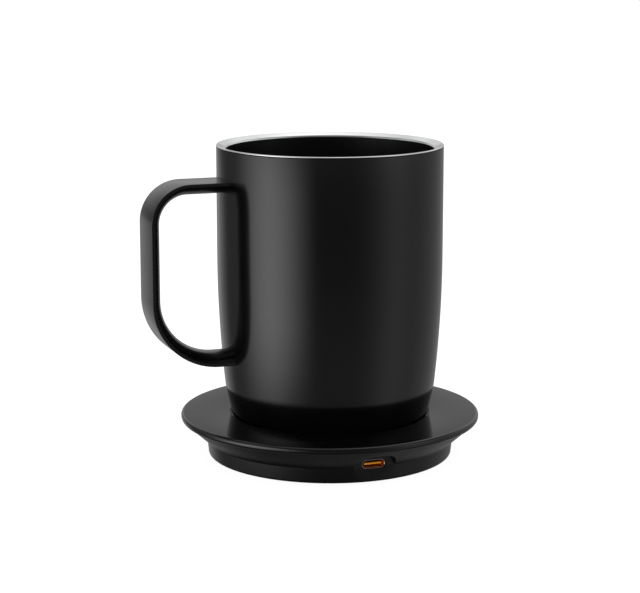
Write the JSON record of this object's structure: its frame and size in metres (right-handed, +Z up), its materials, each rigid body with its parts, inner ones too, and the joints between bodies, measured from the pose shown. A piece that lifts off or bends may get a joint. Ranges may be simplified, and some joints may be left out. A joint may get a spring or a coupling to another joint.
{
  "type": "self-heating mug",
  "caption": "Straight-sided steel mug with a strap handle and a heated base, standing in the shallow well of a round charging coaster with a socket in its side.",
  "frame": {"origin": "centre of the coaster's foot, on the table", "axes": "+Z up along the axis of mug and coaster, -X towards the handle, -Y towards the charging socket"},
  "size_m": [0.1268, 0.1124, 0.1171],
  "materials": {
    "powder_coat": "satin black powder coat",
    "polished_steel": "polished stainless steel",
    "ceramic": "satin black ceramic coating",
    "coaster_coat": "satin black moulding",
    "base_plastic": "fine moulded texture",
    "silicone": "matt silicone",
    "gold_contact": "gold plated",
    "screw_steel": "bright nickel plate",
    "socket_orange": "moulded orange insulator",
    "circuit_board": "solder mask",
    "electronics": "moulded packages",
    "heater_film": "amber film",
    "insulation": "pressed fibre",
    "cell_foil": "foil pouch"
  },
  "bodies": {
    "coaster": {"coaster_top": "coaster_coat", "coaster_housing": "coaster_coat", "coaster_base": "base_plastic", "coaster_foot": "silicone", "coaster_screws": "screw_steel", "charging_board": "circuit_board", "charging_components": "electronics", "usb_c_shell": "screw_steel", "usb_c_tongue": "socket_orange", "usb_c_contacts": "gold_contact", "pin_barrels": "gold_contact", "pin_spring_inner": "screw_steel", "pin_spring_outer": "screw_steel"},
    "mug": {"outer_shell": "powder_coat", "inner_vessel": "polished_steel", "ceramic_lining": "ceramic", "handle": "powder_coat", "heater_film": "heater_film", "temperature_sensor": "electronics", "insulation_pad": "insulation", "battery_tray": "base_plastic", "battery_cells": "cell_foil", "control_board": "circuit_board", "board_components": "electronics", "tact_switch": "electronics", "bottom_cover": "base_plastic", "base_seal": "silicone", "mug_foot": "silicone", "cover_screws": "screw_steel", "contact_ring_inner": "gold_contact", "contact_ring_outer": "gold_contact"},
    "button": {"power_button": "base_plastic", "switch_plunger": "silicone"},
    "inner_pin": {"contact_pin_inner": "gold_contact"},
    "outer_pin": {"contact_pin_outer": "gold_contact"}
  },
  "joints": [
    {"name": "mug_lift", "type": "slide", "parent": "coaster", "child": "mug", "axis": [0, 0, 1], "range_m": [0, 0.08]},
    {"name": "button_press", "type": "slide", "parent": "mug", "child": "button", "axis": [0, 0, 1], "range_m": [0, 0.0005], "stiffness_N_per_m": 1500, "springref_m": -0.0006},
    {"name": "inner_pin_press", "type": "slide", "parent": "coaster", "child": "inner_pin", "axis": [0, 0, 1], "range_m": [-0.0006, 0], "stiffness_N_per_m": 250, "springref_m": 0.002, "deforming": ["pin_spring_inner"]},
    {"name": "outer_pin_press", "type": "slide", "parent": "coaster", "child": "outer_pin", "axis": [0, 0, 1], "range_m": [-0.0006, 0], "stiffness_N_per_m": 250, "springref_m": 0.002, "deforming": ["pin_spring_outer"]}
  ]
}
